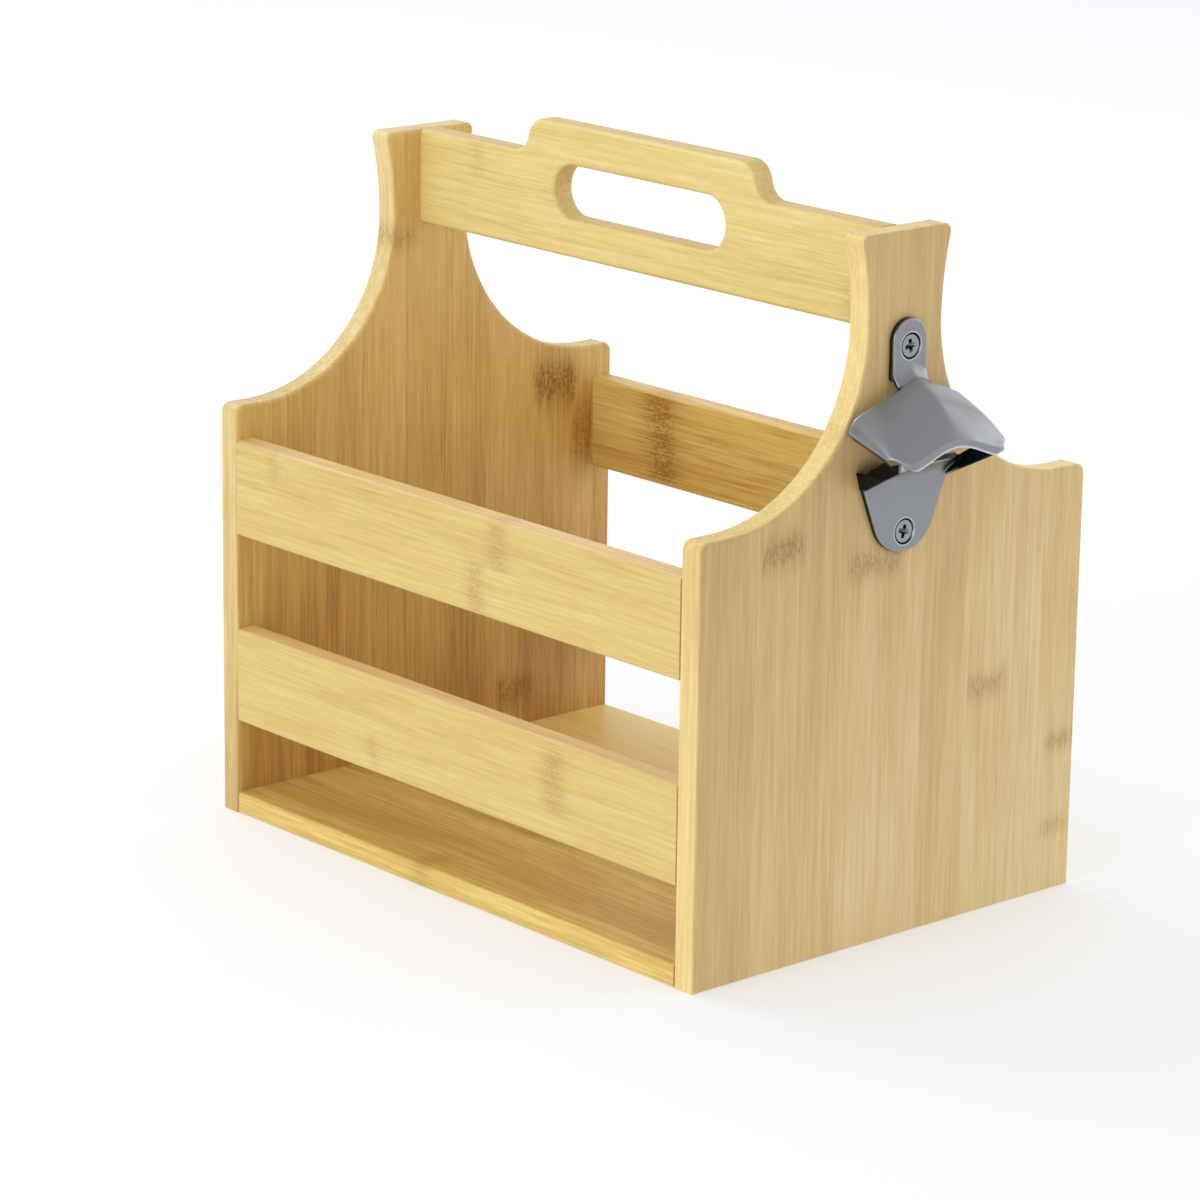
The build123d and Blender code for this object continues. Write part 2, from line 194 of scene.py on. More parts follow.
bamboo = {
    "strip": 21.5,                        # mm, width of one glued strip
    "seam": 0.014,                        # strips, how far the dark line of a joint fades out
    "stripTint": (1.015, 0.985, 1.045),   # the pinker of two tints between which the strips lie
    "otherFibres": 40.0,                  # how far apart two strips read the patterns of fibres

    # mm, length and width of each pattern of streaks
    "bundle": (48, 1.7),                  # bundles of fibres
    "fibre": (26, 0.7),
    "vessel": (30, 0.42),                 # long fine dark lines, drawn at the width of one pixel
    "fleck": (6, 0.6),                    # short dark ends of fibres
    "cloud": (85, 13),
    "dab": (2.3, 1.3),                    # the knotted fibres of a knuckle
    "wave": (60, 5),                      # the line on which a knuckle lies
    "streakRoughness": 0.6,

    # level of the pattern where a mark begins, and where it is full
    "vesselLevels": (0.58, 0.7),
    "fleckLevels": (0.62, 0.74),
    "dabLevels": (0.42, 0.66),

    # tone is a sum of shares of these patterns, and the stops are where it is the darkest, the middle
    # and the lightest of a board's three tones
    "toneBase": -0.7,
    "toneShares": {"bundle": 0.55, "fibre": 0.4, "cloud": 0.35, "strip": 0.12, "vessel": -0.09,
                   "fleck": -0.09, "seam": -0.1},
    "toneMiddle": 0.5,                    # a board's contrast spreads the tones about this
    "toneStops": (0.12, 0.5, 0.82),
    "paintedLightSpan": 100,                     # mm over which a board's drift is reached
    "edgeFacing": (0.35, 0.8),            # how much it faces as the wide sides do: all edge, no edge

    "knuckleColour": "#8F6118",
    "dabStrength": 0.85,
    "knuckleSway": 1.6,                   # this and the next two in half heights of the knuckle
    "ringSpread": 1.5,
    "haloSpread": 2.6,
    "haloStrength": 0.85,
    "haloFibres": (0.64, 0.34, 0.35),     # fibre level with the faintest halo and the fullest, its least
    "raggedness": 6,                      # mm, at the two ends of a knuckle

    "roughness": 0.44,
    "roughnessSpread": 0.14,
    "bump": 0.07,
    "relief": 0.4,                        # mm
    "vesselDepth": 0.6,                   # this and the next as shares of a fibre's height
    "knuckleDepth": 0.8,
}

# What differs from board to board. The axes say which way the grain runs, shift moves the joints by a
# share of a strip, and seed picks the strips. drift is painted light: the tone grows lighter across the
# grain and along it towards where more light falls.
# tones are the darkest, middle and lightest, and edgeLightAndShade is painted light and shade on the
# narrow
# faces: lighter where light falls on the edges, darker and browner on the handle's shaded slot walls.
# A knuckle is (along the grain, across it, half width, half height) in mm and its strength.

boardLooks = {
    "end_panel_right": {
        "grain": "Z", "across": "Y", "shift": 0.35, "seed": 3, "contrast": 0.9, "paintedLightDrift": (0.10, -0.10),
        "tones": ("#B8955A", "#D2B476", "#E3CC94"), "edgeLightAndShade": (1.27, 1.4, 1.34),
        "knuckles": [(161, -59, 10, 4.5, 0.62), (149, -12, 13, 4.5, 0.5), (91, 49, 10, 4, 0.42),
                     (61, 92, 8, 3, 0.4), (26, 89, 7, 3, 0.35)],
    },
    "end_panel_left": {
        "grain": "Z", "across": "Y", "shift": 0.6, "seed": 11, "contrast": 1.25, "paintedLightDrift": (0.0, 0.18),
        # Its deeper, more orange tones are partly the board's own colour and partly painted shade, for
        # its shaded inner face
        "tones": ("#B0823F", "#CFAB5B", "#E2C075"), "edgeLightAndShade": (1.03, 1.18, 1.56),
        "knuckles": [(157, 69, 12, 8, 0.95), (132, 84, 6, 14, 0.6), (25, 47, 10, 5, 0.75),
                     (229, -16, 9, 4, 0.4)],
    },
    "front_upper_slat": {
        "grain": "X", "across": "Z", "shift": 0.56, "seed": 5, "contrast": 1.0, "paintedLightDrift": (0.0, 0.0),
        "tones": ("#BD9D4F", "#D6BC6F", "#E5D08A"), "edgeLightAndShade": (1.18, 1.1, 1.5),
        "knuckles": [(31, 146, 10, 4.5, 0.32), (17, 127, 10, 4.5, 0.36), (-108, 150, 7, 3, 0.2)],
    },
    "front_lower_slat": {
        "grain": "X", "across": "Z", "shift": 0.19, "seed": 8, "contrast": 1.0, "paintedLightDrift": (0.0, 0.0),
        "tones": ("#BC9D4D", "#D5BB6D", "#E4CF88"), "edgeLightAndShade": (1.18, 1.1, 1.5),
        "knuckles": [(64, 62, 13, 5, 0.36), (-45, 48, 6, 3, 0.25)],
    },
    "back_upper_slat": {
        "grain": "X", "across": "Z", "shift": 0.56, "seed": 14, "contrast": 1.5, "paintedLightDrift": (0.0, 0.0),
        "tones": ("#B88F45", "#D9BA69", "#E6CC83"), "edgeLightAndShade": (1.04, 1.03, 1.15),
        "knuckles": [(-88, 137, 18, 8, 0.8), (70, 128, 9, 5, 0.5)],
    },
    "back_lower_slat": {
        "grain": "X", "across": "Z", "shift": 0.19, "seed": 17, "contrast": 1.3, "paintedLightDrift": (0.0, 0.0),
        "tones": ("#B88F45", "#D9BA69", "#E6CC83"), "edgeLightAndShade": (1.04, 1.03, 1.15),
        "knuckles": [(-20, 60, 14, 6, 0.6), (100, 50, 8, 5, 0.4)],
    },
    "base_board": {
        "grain": "X", "across": "Y", "shift": 0.1, "seed": 20, "contrast": 1.2, "paintedLightDrift": (0.36, 0.0),
        "tones": ("#C6A251", "#E9CC75", "#F6DD8E"), "edgeLightAndShade": (1.1, 1.2, 1.22),
        "knuckles": [(-70, -30, 10, 5, 0.5), (40, 8, 10, 5, 0.5), (90, 72, 9, 5, 0.4),
                     (-15, -92, 9, 4, 0.3)],
    },
    "handle_board": {
        "grain": "X", "across": "Z", "shift": 0.86, "seed": 23, "contrast": 1.1, "paintedLightDrift": (0.0, 0.0),
        "tones": ("#C3A655", "#DDC779", "#EADA96"), "edgeLightAndShade": (0.93, 0.85, 0.84),
        "knuckles": [(118, 242, 8, 4, 0.22), (-96, 265, 7, 3, 0.18)],
    },
}


def bambooMaterial(name, look):
    material, tree = newMaterial("sealedBamboo_" + name)
    grainAxis, acrossAxis = look["grain"], look["across"]
    deepAxis = next(axis for axis in "XYZ" if axis not in (grainAxis, acrossAxis))
    low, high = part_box(name)
    place = addNode(tree, "TexCoord")
    axes = addNode(tree, "SeparateXYZ", {"Vector": place.outputs["Object"]})
    facing = addNode(tree, "SeparateXYZ", {"Vector": place.outputs["Normal"]})
    along, across = axes.outputs[grainAxis], axes.outputs[acrossAxis]
    boardSpace = addNode(tree, "CombineXYZ", {"X": along, "Y": across, "Z": axes.outputs[deepAxis]})

    # Strips: each has a random tone and tint and its own fibres
    stripCount = addNode(tree, "Math", {0: across, 1: 1 / (bamboo["strip"] * mm), 2: look["shift"]},
                         operation="MULTIPLY_ADD")
    stripNumber = addNode(tree, "Math", {0: stripCount}, operation="FLOOR")
    stripNumber = addNode(tree, "Math", {0: stripNumber, 1: look["seed"]}, operation="ADD")
    strip = addNode(tree, "TexWhiteNoise", {"W": stripNumber}, noise_dimensions="1D")
    stripParts = addNode(tree, "SeparateColor", {"Color": strip.outputs["Color"]})
    ownFibres = addNode(tree, "VectorMath", {0: strip.outputs["Color"], "Scale": bamboo["otherFibres"]},
                        operation="SCALE")
    fromJoint = addNode(tree, "Math", {0: stripCount, 1: 0.5}, operation="PINGPONG")
    seam = addNode(tree, "MapRange", {"Value": fromJoint, "From Min": 0.0, "From Max": bamboo["seam"],
                                      "To Min": 1.0, "To Max": 0.0}, interpolation_type="SMOOTHSTEP")

    def streaks(key, detail=1.0):         # noise drawn out along the grain, to the size of that key
        length, width = bamboo[key]
        scale = (1 / (length * mm), 1 / (width * mm), 1 / (width * mm))
        space = addNode(tree, "VectorMath", {0: boardSpace, 1: scale, 2: ownFibres},
                        operation="MULTIPLY_ADD")
        return addNode(tree, "TexNoise", {"Vector": space, "Scale": 1.0, "Detail": detail,
                                          "Roughness": bamboo["streakRoughness"]})

    def marks(key, strength=1.0, detail=1.0):          # where such a pattern is above its levels
        start, full = bamboo[key + "Levels"]
        return addNode(tree, "MapRange", {"Value": streaks(key, detail), "From Min": start,
                                          "From Max": full, "To Min": 0.0, "To Max": strength},
                       interpolation_type="SMOOTHSTEP")

    fibre = streaks("fibre", 2.0)
    vessel = marks("vessel")
    layers = {"bundle": streaks("bundle", 2.0), "fibre": fibre, "cloud": streaks("cloud"),
              "strip": strip.outputs["Value"], "vessel": vessel, "fleck": marks("fleck"), "seam": seam}
    tone = bamboo["toneBase"]
    for key, share in bamboo["toneShares"].items():
        tone = addNode(tree, "Math", {0: layers[key], 1: share, 2: tone}, operation="MULTIPLY_ADD")
    tone = addNode(tree, "Math", {0: tone, 1: look["contrast"], 2: bamboo["toneMiddle"]},
                   operation="MULTIPLY_ADD")
    # Painted light: the tone drifts lighter across the board and along its grain towards where more
    # light falls, such as the bottom of the right panel and the back of the base
    for axis, paintedLightDrift in ((acrossAxis, look["paintedLightDrift"][0]), (grainAxis, look["paintedLightDrift"][1])):
        if paintedLightDrift:
            number = "XYZ".index(axis)
            fromMiddle = addNode(tree, "Math", {0: axes.outputs[axis],
                                                1: (low[number] + high[number]) / 2},
                                 operation="SUBTRACT")
            tone = addNode(tree, "Math", {0: fromMiddle, 1: paintedLightDrift / (bamboo["paintedLightSpan"] * mm),
                                          2: tone}, operation="MULTIPLY_ADD")
    ramp = addNode(tree, "ValToRGB", {"Fac": tone})
    stops = ramp.color_ramp.elements
    stops.new(bamboo["toneStops"][1])
    for stop, position, colour in zip(stops, bamboo["toneStops"], look["tones"]):
        stop.position, stop.color = position, paint(colour)
    tinted = addNode(tree, "VectorMath", {0: ramp, 1: bamboo["stripTint"]}, operation="MULTIPLY")
    stripColour = addNode(tree, "Mix", {"Factor": stripParts.outputs["Green"], "A": ramp,
                                        "B": tinted}, data_type="RGBA")
    # Painted light and shade: the narrow faces take the board's edge tint, lighter where light falls on
    # the edges, darker on the handle's shaded slot walls
    edgeLitColour = addNode(tree, "VectorMath", {0: stripColour, 1: look["edgeLightAndShade"]}, operation="MULTIPLY")
    facingOut = addNode(tree, "Math", {0: facing.outputs[deepAxis]}, operation="ABSOLUTE")
    edgeStart, wideStart = bamboo["edgeFacing"]
    narrow = addNode(tree, "MapRange", {"Value": facingOut, "From Min": edgeStart,
                                        "From Max": wideStart, "To Min": 1.0, "To Max": 0.0},
                     interpolation_type="SMOOTHSTEP")
    boardColour = addNode(tree, "Mix", {"Factor": narrow, "A": stripColour, "B": edgeLitColour},
                          data_type="RGBA")

    # Knuckles: dabs that thin out with the distance along the grain from a wavy line, and stained
    # fibres further out, inside a ragged window across the grain
    dab = marks("dab", bamboo["dabStrength"], 2.0)
    wave = streaks("wave")
    faintest, fullest, least = bamboo["haloFibres"]
    haloFibre = addNode(tree, "MapRange", {"Value": fibre, "From Min": faintest, "From Max": fullest,
                                           "To Min": least, "To Max": 1.0},
                        interpolation_type="SMOOTHSTEP")
    ragged = bamboo["raggedness"]
    stain = 0.0
    for ringAlong, ringAcross, halfWidth, halfHeight, strength in look["knuckles"]:
        sway = bamboo["knuckleSway"] * halfHeight
        away = addNode(tree, "Math", {0: along, 1: (ringAlong + sway / 2) * mm}, operation="SUBTRACT")
        away = addNode(tree, "Math", {0: wave, 1: sway * mm, 2: away}, operation="MULTIPLY_ADD")
        away = addNode(tree, "Math", {0: away}, operation="ABSOLUTE")
        aside = addNode(tree, "Math", {0: across, 1: ringAcross * mm}, operation="SUBTRACT")
        aside = addNode(tree, "Math", {0: aside}, operation="ABSOLUTE")
        aside = addNode(tree, "Math", {0: fibre, 1: ragged * mm, 2: aside}, operation="MULTIPLY_ADD")
        window = addNode(tree, "MapRange", {"Value": aside, "From Min": halfWidth * mm,
                                            "From Max": (halfWidth + ragged) * mm,
                                            "To Min": strength, "To Max": 0.0},
                         interpolation_type="SMOOTHSTEP")
        ring = addNode(tree, "MapRange", {"Value": away, "From Min": 0.0,
                                          "From Max": bamboo["ringSpread"] * halfHeight * mm,
                                          "To Min": 1.0, "To Max": 0.0},
                       interpolation_type="SMOOTHSTEP")
        halo = addNode(tree, "MapRange", {"Value": away, "From Min": 0.0,
                                          "From Max": bamboo["haloSpread"] * halfHeight * mm,
                                          "To Min": bamboo["haloStrength"], "To Max": 0.0},
                       interpolation_type="SMOOTHSTEP")
        ring = addNode(tree, "Math", {0: ring, 1: dab}, operation="MULTIPLY")
        halo = addNode(tree, "Math", {0: halo, 1: haloFibre}, operation="MULTIPLY")
        spot = addNode(tree, "Math", {0: ring, 1: halo}, operation="ADD", use_clamp=True)
        spot = addNode(tree, "Math", {0: window, 1: spot}, operation="MULTIPLY")
        stain = addNode(tree, "Math", {0: stain, 1: spot}, operation="MAXIMUM")
    colour = addNode(tree, "Mix", {"Factor": stain, "A": boardColour,
                                   "B": paint(bamboo["knuckleColour"])}, data_type="RGBA")

    height = addNode(tree, "Math", {0: vessel, 1: -bamboo["vesselDepth"], 2: fibre},
                     operation="MULTIPLY_ADD")
    height = addNode(tree, "Math", {0: stain, 1: -bamboo["knuckleDepth"], 2: height},
                     operation="MULTIPLY_ADD")
    bump = addNode(tree, "Bump", {"Height": height, "Strength": bamboo["bump"],
                                  "Distance": bamboo["relief"] * mm})
    spread = bamboo["roughnessSpread"]
    gloss = addNode(tree, "Math", {0: fibre, 1: spread, 2: bamboo["roughness"] - spread / 2},
                    operation="MULTIPLY_ADD")
    shader = addNode(tree, "BsdfPrincipled", {"Base Color": colour, "Roughness": gloss,
                                              "Normal": bump})
    addNode(tree, "OutputMaterial", {"Surface": shader})
    return material


def dressNode(name, material):
    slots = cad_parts[name].data.materials
    slots.clear()
    slots.append(material)


for name, look in boardLooks.items():
    dressNode(name, bambooMaterial(name, look))
print("bamboo boards dressed:", len(boardLooks))


# Beech: turned dowels, plain and pale pink with short dark rays. They are hidden once glued.

beech = {
    "tones": ("#C79C6C", "#D9B488"),
    "ray": (3.0, 0.4),                    # mm, length and width
    "roughness": 0.6,
}


def beechMaterial(look):
    material, tree = newMaterial("turnedBeech")
    length, width = look["ray"]
    place = addNode(tree, "TexCoord")
    space = addNode(tree, "Mapping", {
        "Vector": place.outputs["Object"],
        "Scale": (1 / (length * mm), 1 / (width * mm), 1 / (width * mm))})
    ray = addNode(tree, "TexNoise", {"Vector": space, "Scale": 1.0, "Detail": 2.0})
    ramp = addNode(tree, "ValToRGB", {"Fac": ray})
    for stop, colour in zip(ramp.color_ramp.elements, look["tones"]):
        stop.color = paint(colour)
    shader = addNode(tree, "BsdfPrincipled", {"Base Color": ramp, "Roughness": look["roughness"]})
    addNode(tree, "OutputMaterial", {"Surface": shader})
    return material


dowelBeech = beechMaterial(beech)
dowels = [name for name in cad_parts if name.startswith("dowels_")]
for name in dowels:
    dressNode(name, dowelBeech)
print("groups of beech dowels dressed:", len(dowels))


# Meshes from arrays of points

def meshObject(name, points, faces):
    mesh = bpy.data.meshes.new(name)
    mesh.from_pydata(np.asarray(points).reshape(-1, 3).tolist(), [], faces)
    mesh.update()
    return bpy.data.objects.new(name, mesh)


def gridFaces(rows, columns, closed=False, first=0):   # quads of a grid of points, row after row
    row = np.arange(rows - 1)[:, None] * columns
    column = np.arange(columns if closed else columns - 1)[None, :]
    following = (column + 1) % columns
    corners = (row + column, row + following, row + columns + following, row + columns + column)
    return (np.stack(corners, axis=-1).reshape(-1, 4) + first).tolist()


def loopMesh(name, loops):    # closed loops of points stacked from end to end, a fan on each end
    rows, columns, _ = loops.shape
    ends = np.stack((loops[0].mean(axis=0), loops[-1].mean(axis=0)))
    last = rows * columns
    column = np.arange(columns)
    following = (column + 1) % columns
    firstFan = np.stack((following, column, np.full(columns, last)), axis=-1)
    lastFan = np.stack((column + last - columns, following + last - columns,
                        np.full(columns, last + 1)), axis=-1)
    faces = gridFaces(rows, columns, closed=True) + firstFan.tolist() + lastFan.tolist()
    return meshObject(name, np.concatenate((loops.reshape(-1, 3), ends)), faces)


def offset(surface, depth):    # a grid of points moved in along its normals, by a depth in mm
    normal = np.cross(np.gradient(surface, axis=0), np.gradient(surface, axis=1))
    return surface - normal / np.linalg.norm(normal, axis=2, keepdims=True) * depth * mm


def shellMesh(name, outside, inside):    # two grids of points, back to back, joined at the rim
    rows, columns, _ = outside.shape
    count = rows * columns
    number = np.arange(count).reshape(rows, columns)
    rim = np.concatenate((number[0, :-1], number[:-1, -1], number[-1, :0:-1], number[:0:-1, 0]))
    following = np.roll(rim, -1)
    outer = gridFaces(rows, columns)
    inner = [face[::-1] for face in gridFaces(rows, columns, first=count)]
    side = np.stack((following, rim, rim + count, following + count), axis=-1).tolist()
    points = np.concatenate((outside.reshape(-1, 3), inside.reshape(-1, 3)))
    return meshObject(name, points, outer + inner + side)


def settle(name, source, parts=()):    # an object's mesh after its modifiers, as a new piece
    scene.collection.objects.link(source)
    for part in parts:
        scene.collection.objects.link(part)
    bpy.context.view_layer.update()
    finished = source.evaluated_get(bpy.context.evaluated_depsgraph_get())
    mesh = bpy.data.meshes.new_from_object(finished)
    mesh.name = name
    for used in (source, *parts):
        bpy.data.objects.remove(used)
    return bpy.data.objects.new(name, mesh)


# Opener: one zinc casting, melted together from a tab, a neck, a hood, a tongue, its lip and two side
# walls. All in mm: reach is out from the panel, side is +Y, height is above the lower screw. A grid is
# the number of points each way.

opener = {
    "screwSpacing": 70,
    "tab": {"width": 17, "thickness": 3, "top": 80.4, "foot": 57.6, "rounding": 0.8,
            "arcPoints": 60, "sidePoints": 20},
    "neck": {
        "width": 17, "wall": 3.0, "startReach": 1.4, "endReach": 11.5,
        "leaves": 3, "level": 60.3,       # where it leaves the tab
        "fall": 0.56, "fillet": 3.6, "filletReach": 1.3,
        "dipReach": 7, "dip": 0.06,
        "gable": 0.37, "gableRound": 0.8, "gableTop": 0.9,
        "edgeRoll": 1.0, "rollPower": 8,
        "grid": (60, 60),
    },
    "hood": {
        "width": 58.6, "reach": 28.5, "standOff": 1.2, "backReach": 6.3, "backPower": 6,
        "cornerRadius": 7.5, "wall": 3.0,
        # heights of the middle at the panel and at the rim, and of the corners at the rim and behind
        "dome": 60.0, "rimCrown": 39.3, "rimCorner": 32.6, "wingCorner": 40.8,
        # ridge line: (share of the reach, share of the way from the rim's crown up to the dome)
        "ridge": ((-0.1, 1.14), (0.0, 1.075), (0.14, 0.976), (0.326, 0.844), (0.5, 0.71),
                  (0.634, 0.571), (0.79, 0.354), (0.908, 0.175), (1.0, 0.0), (1.1, -0.2)),
        "ridgePoints": 241, "ridgeBlend": 12,
        # share of the drop to the sides that is a gable, how softly it bends at the ridge, how late
        # the sides turn down, and how late the gable becomes the rim's arch
        "gable": 0.56, "gableSoftness": 0.045, "sidePower": 8, "rimPower": 8,
        "grid": (90, 220),
    },
    "tongue": {"thickness": 2.5, "radius": 16.0, "centre": 8.1, "cornerHalfWidth": 21.6,
               "corner": 19.0, "rounding": 0.6, "arcPoints": 90, "sidePoints": 16, "topPoints": 40},
    "lip": {"start": 19.0, "buried": 0.6, "top": 26.0, "tooth": 1.0, "toothHalfWidth": 8.0,
            "toothSoftness": 0.7, "scoop": 5.5, "scoopPower": 1.5, "grid": (50, 161)},
    "web": {"reach": 26.6, "footHalf": 21.8, "topHalf": 24.0, "spread": 2.4, "wall": 2.4,
            "footRise": 0.53, "backTop": 25.4, "bend": 5.0, "topRise": 0.66, "highest": 34.2,
            "grid": (80, 50)},
    "sink": {"diameter": 10.1, "bore": 4.4, "beyond": 4, "flare": 0.02, "points": 96},   # screw holes
    "roundingSteps": 5,
    "voxel": 0.37,
    "smoothing": (0.5, 5),                # strength and rounds
    "sharpAngle": 50,
}
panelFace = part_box("end_panel_right")[1].x
lowerScrewHeight = sum(corner.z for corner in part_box("opener_screw_lower")) / 2


def openerPoints(reach, side, height):    # (reach, side, height) arrays in mm to points in the frame
    reach, side, height = np.broadcast_arrays(reach, side, height)
    return np.stack((panelFace + reach * mm, side * mm, lowerScrewHeight + height * mm), axis=-1)


def hoodHeight(look, reachShare, across):
    # Ridge line over the reach, less a drop across it: near the panel a gable that turns down at the
    # sides, and at the rim a cosine arch
    lineReach, lineHeight = np.array(look["ridge"]).T
    fine = np.linspace(lineReach[0], lineReach[-1], look["ridgePoints"])
    blend = look["ridgeBlend"]
    kernel = np.hanning(2 * blend + 1)
    padded = np.pad(np.interp(fine, lineReach, lineHeight), blend, mode="reflect", reflect_type="odd")
    smooth = np.convolve(padded, kernel / kernel.sum(), mode="valid")
    crown = look["rimCrown"]
    ridge = crown + (look["dome"] - crown) * np.interp(reachShare, fine, smooth)
    side = look["wingCorner"] + (look["rimCorner"] - look["wingCorner"]) * reachShare
    soft = look["gableSoftness"]
    gable = (np.sqrt(across ** 2 + soft ** 2) - soft) / (math.sqrt(1 + soft ** 2) - soft)
    turnDown = 1 - np.sqrt(1 - np.abs(across) ** look["sidePower"])
    drop = look["gable"] * gable + (1 - look["gable"]) * turnDown
    arch = (1 - np.cos(np.pi * across)) / 2
    rimness = np.clip(reachShare, 0, 1) ** look["rimPower"]
    return ridge - (ridge - side) * (drop * (1 - rimness) + arch * rimness)


def hoodMesh(look):
    # Two parameters: share of the way from the open back edge to the rim, and the angle whose sine is
    # the share of the half width, so that the points crowd where the sides turn down. The inner wall
    # is the same surface drawn in sideways and lowered, which leaves the rim an upright face
    rows, columns = look["grid"]
    share = np.linspace(0, 1, rows)[:, None]
    across = np.sin(np.linspace(-np.pi / 2, np.pi / 2, columns))[None, :]
    half, radius, standOff = look["width"] / 2, look["cornerRadius"], look["standOff"]
    side = half * across
    beyond = np.clip(np.abs(side) - (half - radius), 0, radius)
    front = look["reach"] - radius + np.sqrt(radius ** 2 - beyond ** 2)
    back = standOff + (look["backReach"] - standOff) * (1 - np.abs(across) ** look["backPower"])
    reach = back + (front - back) * share
    height = hoodHeight(look, (reach - standOff) / (look["reach"] - standOff), across)
    inner = openerPoints(reach, side * (1 - look["wall"] / half), height - look["wall"])
    return shellMesh("hood", openerPoints(reach, side, height), inner)


def neckMesh(look):
    # A strip from inside the tab to inside the hood: a slope that leaves the tab in a fillet and dips
    # below the hood's ridge as they meet, less its gable and a roll-over at its two edges
    rows, columns = look["grid"]
    along = np.linspace(0, 1, rows)[:, None]
    across = np.linspace(-1, 1, columns)[None, :]
    reach = look["startReach"] + (look["endReach"] - look["startReach"]) * along
    side = look["width"] / 2 * across
    out = np.maximum(reach - look["leaves"], 0)
    fillet = look["fillet"] * np.exp(-out / look["filletReach"])
    slope = look["level"] - look["fall"] * out + fillet
    dip = look["dip"] * np.maximum(reach - look["dipReach"], 0) ** 2
    gable = look["gable"] * (np.sqrt(side ** 2 + look["gableRound"]) - look["gableTop"])
    height = slope - dip - gable - look["edgeRoll"] * np.abs(across) ** look["rollPower"]
    surface = openerPoints(reach, side, height)
    return shellMesh("neck", surface, offset(surface, look["wall"]))


def plateLoops(outline, thickness, rounding):
    # An outline (side, height) carried from the panel to the front, and drawn in along a quarter
    # circle there
    middle = outline.mean(axis=0)
    outward = (outline - middle) / np.linalg.norm(outline - middle, axis=1, keepdims=True)
    turn = np.linspace(0, np.pi / 2, opener["roundingSteps"])
    inset = np.concatenate(([0.0], rounding * (1 - np.cos(turn))))[:, None, None]
    reach = np.concatenate(([0.0], thickness - rounding * (1 - np.sin(turn))))[:, None]
    loops = outline[None] - outward[None] * inset
    return openerPoints(reach, loops[:, :, 0], loops[:, :, 1])


def tabMesh(look):
    # Half circle on top of two straight sides
    radius = look["width"] / 2
    turn = np.linspace(0, np.pi, look["arcPoints"])
    arc = np.stack((radius * np.cos(turn), look["top"] - radius + radius * np.sin(turn)), axis=-1)
    rise = np.linspace(look["top"] - radius, look["foot"], look["sidePoints"])[1:, None]
    left = np.concatenate((np.full_like(rise, -radius), rise), axis=1)
    outline = np.concatenate((arc, left, left[::-1] * (-1, 1)))
    return loopMesh("tab", plateLoops(outline, look["thickness"], look["rounding"]))


def tongueMesh(look):
    # Round lower end, the two tangents from it to the corners, and a level upper edge
    half, radius, centre = look["cornerHalfWidth"], look["radius"], look["centre"]
    rise = look["corner"] - centre
    angle = math.atan2(rise, half) - math.acos(radius / math.hypot(half, rise))
    turn = np.linspace(angle, -math.pi - angle, look["arcPoints"])
    arc = np.stack((radius * np.cos(turn), centre + radius * np.sin(turn)), axis=-1)
    corner = np.array((-half, look["corner"]))
    left = arc[-1] + (corner - arc[-1]) * np.linspace(0, 1, look["sidePoints"])[1:, None]
    wide = np.linspace(-half, half, look["topPoints"])
    upper = np.stack((wide, np.full_like(wide, look["corner"])), axis=-1)[1:-1]
    right = (left * (-1, 1))[::-1]
    outline = np.concatenate((arc, left, upper, right))[::-1]
    return loopMesh("tongue", plateLoops(outline, look["thickness"], look["rounding"]))


def lipMesh(look, half, thickness):
    # The tongue goes on upwards and scoops out to the lip, which has a tooth in the middle
    rows, columns = look["grid"]
    rise = np.linspace(0, 1, rows)[:, None]
    side = half * np.linspace(-1, 1, columns)[None, :]
    fromTooth = (np.abs(side) - look["toothHalfWidth"]) / look["toothSoftness"]
    foot = look["start"] - look["buried"]
    height = foot + (look["top"] + look["tooth"] / (1 + np.exp(fromTooth)) - foot) * rise
    level = np.clip((height - look["start"]) / (look["top"] - look["start"]), 0, 1)
    surface = openerPoints(thickness + look["scoop"] * level ** look["scoopPower"], side, height)
    return shellMesh("lip", surface, offset(surface, -thickness))


def webMesh(look, lip, thickness, sign):
    # One side wall, from the panel past the end of the lip to the hood's corner. Its lower edge climbs
    # from the tongue's corner, its upper edge from behind the lip, and it leans out and spreads
    rows, columns = look["grid"]
    reach = np.linspace(0, look["reach"], rows)[:, None]
    rise = np.linspace(0, 1, columns)[None, :]
    foot = lip["start"] - lip["buried"] + look["footRise"] * np.maximum(reach - thickness, 0)
    top = look["backTop"] + look["topRise"] * np.maximum(reach - look["bend"], 0)
    height = foot + (np.minimum(top, look["highest"]) - foot) * rise
    level = np.clip((height - lip["start"]) / (lip["top"] - lip["start"]), 0, 1)
    lean = (look["topHalf"] - look["footHalf"]) * level
    side = look["footHalf"] + lean + look["spread"] * reach / look["reach"]
    return shellMesh("web", openerPoints(reach, sign * side, height),
                     openerPoints(reach, sign * (side - look["wall"]), height))


def sinkMesh(name, look, metal, height):
    # Cutter for one countersunk hole: a bore, then a cone of 45 degrees up to the metal's face
    bore, wide = look["bore"] / 2, look["diameter"] / 2
    profile = np.array(((bore, -look["beyond"]), (bore, metal - (wide - bore)), (wide, metal),
                        (wide + look["flare"], metal + look["beyond"])))
    radius, reach = profile[:, 0][:, None], profile[:, 1][:, None]
    turn = np.linspace(0, 2 * np.pi, look["points"], endpoint=False)[None, :]
    return loopMesh(name, openerPoints(reach, radius * np.cos(turn), height + radius * np.sin(turn)))


